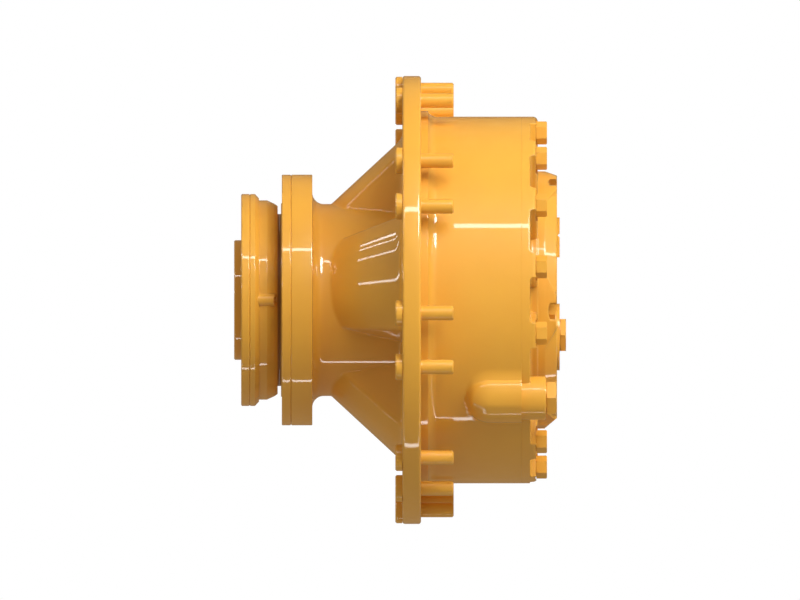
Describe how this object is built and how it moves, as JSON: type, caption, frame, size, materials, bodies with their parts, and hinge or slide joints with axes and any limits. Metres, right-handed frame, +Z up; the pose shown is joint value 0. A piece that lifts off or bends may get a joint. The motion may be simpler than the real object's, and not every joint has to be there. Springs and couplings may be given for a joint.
{
  "type": "wheel hub final drive",
  "caption": "Heavy wheel-end final drive: a fixed spindle carries a turning hub with a wheel flange, a drum and a planetary reduction under a bolted cover.",
  "frame": {"origin": "on the turning axis, in the outer face of the wheel flange, where the wheel rim seats", "axes": "+X along the turning axis, towards the cover; +Z up; the picture looks along +Y"},
  "size_m": [0.4978, 0.672, 0.6719],
  "materials": {
    "yellow_casting": "gloss paint over cast iron",
    "yellow_hardware": "gloss paint over steel",
    "dark_steel": "black oxide",
    "ground_steel": "ground",
    "pressed_steel": "pressed and tumbled",
    "gear_steel": "hardened and ground",
    "seal_iron": "lapped",
    "seal_rubber": "matt",
    "bronze": "machined"
  },
  "bodies": {
    "fixed_side": {"spindle": "yellow_casting", "end_plate": "yellow_casting", "end_plate_screws": "dark_steel", "fixed_seal_ring": "seal_iron", "fixed_seal_rubber": "seal_rubber", "inner_bearing_cone": "ground_steel", "outer_bearing_cone": "ground_steel", "bearing_nut": "dark_steel", "nut_lock_plate": "ground_steel", "nut_lock_screws": "dark_steel", "ring_gear": "gear_steel", "ring_gear_hub": "gear_steel", "ring_gear_snap_rings": "dark_steel", "spindle_snap_ring": "dark_steel", "shaft_seal": "seal_rubber", "shaft_bushes": "bronze"},
    "hub": {"wheel_hub": "yellow_casting", "seal_carrier": "yellow_casting", "seal_carrier_screws": "dark_steel", "wheel_studs": "yellow_hardware", "carrier_cover": "yellow_casting", "cover_bolts": "yellow_hardware", "cover_dowels": "ground_steel", "cover_o_ring": "seal_rubber", "fill_plug": "yellow_hardware", "fill_plug_washer": "bronze", "drain_plug": "yellow_hardware", "drain_plug_washer": "bronze", "carrier_plate": "gear_steel", "carrier_bolts": "yellow_hardware", "carrier_bolt_washers": "yellow_hardware", "planet_pins": "ground_steel", "pin_lock_pins": "dark_steel", "planet_washers": "bronze", "inner_bearing_cup": "ground_steel", "outer_bearing_cup": "ground_steel", "turning_seal_ring": "seal_iron", "turning_seal_rubber": "seal_rubber", "sun_thrust_plate": "bronze"},
    "inner_roller_set": {"inner_bearing_rollers": "ground_steel", "inner_bearing_cage": "pressed_steel"},
    "outer_roller_set": {"outer_bearing_rollers": "ground_steel", "outer_bearing_cage": "pressed_steel"},
    "sun": {"axle_shaft": "gear_steel", "sun_gear": "gear_steel", "sun_snap_ring": "dark_steel"},
    "planet_1": {"planet_gear_1": "gear_steel", "planet_bush_1": "bronze"},
    "planet_2": {"planet_gear_2": "gear_steel", "planet_bush_2": "bronze"},
    "planet_3": {"planet_gear_3": "gear_steel", "planet_bush_3": "bronze"},
    "planet_4": {"planet_gear_4": "gear_steel", "planet_bush_4": "bronze"},
    "planet_5": {"planet_gear_5": "gear_steel", "planet_bush_5": "bronze"}
  },
  "joints": [
    {"name": "hub_spin", "type": "hinge", "parent": "fixed_side", "child": "hub", "pos_m": [0, 0, 0], "axis": [1, 0, 0], "continuous": true},
    {"name": "sun_spin", "type": "hinge", "parent": "fixed_side", "child": "sun", "pos_m": [0.1055, 0, 0], "axis": [1, 0, 0], "continuous": true},
    {"name": "inner_roller_spin", "type": "hinge", "parent": "fixed_side", "child": "inner_roller_set", "pos_m": [-0.1295, 0, 0], "axis": [1, 0, 0], "continuous": true},
    {"name": "outer_roller_spin", "type": "hinge", "parent": "fixed_side", "child": "outer_roller_set", "pos_m": [-0.023, 0, 0], "axis": [1, 0, 0], "continuous": true},
    {"name": "planet_1_spin", "type": "hinge", "parent": "hub", "child": "planet_1", "pos_m": [0.1055, -0.11596, 0.06913], "axis": [1, 0, 0], "continuous": true},
    {"name": "planet_2_spin", "type": "hinge", "parent": "hub", "child": "planet_2", "pos_m": [0.1055, 0.02991, 0.13165], "axis": [1, 0, 0], "continuous": true},
    {"name": "planet_3_spin", "type": "hinge", "parent": "hub", "child": "planet_3", "pos_m": [0.1055, 0.13444, 0.01223], "axis": [1, 0, 0], "continuous": true},
    {"name": "planet_4_spin", "type": "hinge", "parent": "hub", "child": "planet_4", "pos_m": [0.1055, 0.05318, -0.12408], "axis": [1, 0, 0], "continuous": true},
    {"name": "planet_5_spin", "type": "hinge", "parent": "hub", "child": "planet_5", "pos_m": [0.1055, -0.10158, -0.08892], "axis": [1, 0, 0], "continuous": true}
  ],
  "couplings": [
    {"joint": "sun_spin", "follows": "hub_spin", "ratio": 3.6},
    {"joint": "inner_roller_spin", "follows": "hub_spin", "ratio": 0.55},
    {"joint": "outer_roller_spin", "follows": "hub_spin", "ratio": 0.55},
    {"joint": "planet_1_spin", "follows": "hub_spin", "ratio": -3.25},
    {"joint": "planet_2_spin", "follows": "hub_spin", "ratio": -3.25},
    {"joint": "planet_3_spin", "follows": "hub_spin", "ratio": -3.25},
    {"joint": "planet_4_spin", "follows": "hub_spin", "ratio": -3.25},
    {"joint": "planet_5_spin", "follows": "hub_spin", "ratio": -3.25}
  ]
}
